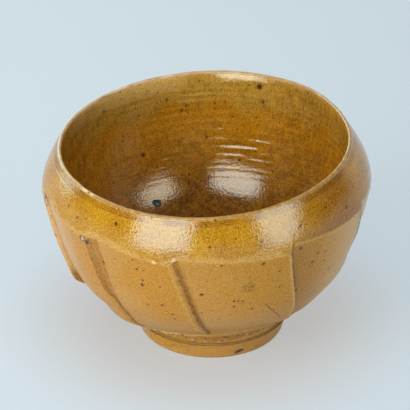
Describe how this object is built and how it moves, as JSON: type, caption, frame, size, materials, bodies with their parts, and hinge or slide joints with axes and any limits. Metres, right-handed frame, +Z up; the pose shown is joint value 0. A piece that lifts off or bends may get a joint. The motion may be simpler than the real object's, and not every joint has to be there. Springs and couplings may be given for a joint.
{
  "type": "tea bowl",
  "caption": "Hand-made stoneware tea bowl with overlapping cut facets, a turned foot ring and an amber glaze.",
  "frame": {"origin": "under the middle of the whole bowl, on the surface that the foot ring stands on", "axes": "+Z up out of the mouth, -Y is the front seen in the picture, +X to its right"},
  "size_m": [0.1246, 0.1284, 0.0805],
  "materials": {
    "clay": "bare tan stoneware, fine grain",
    "brown_glaze": "glossy brown-amber glaze",
    "amber_glaze": "glossy golden-amber glaze",
    "satin_glaze": "thin satin tan-orange glaze with iron specks"
  },
  "bodies": {
    "root": {"clay_body": "clay", "foot_ring": "clay", "inside_glaze": "brown_glaze", "shoulder_glaze": "amber_glaze", "facet_glaze_01": "satin_glaze", "facet_glaze_02": "satin_glaze", "facet_glaze_03": "satin_glaze", "facet_glaze_04": "satin_glaze", "facet_glaze_05": "satin_glaze", "facet_glaze_06": "satin_glaze", "facet_glaze_07": "satin_glaze", "facet_glaze_08": "satin_glaze", "facet_glaze_09": "satin_glaze", "facet_glaze_10": "satin_glaze", "collar_glaze": "amber_glaze", "foot_glaze": "satin_glaze"}
  },
  "joints": []
}
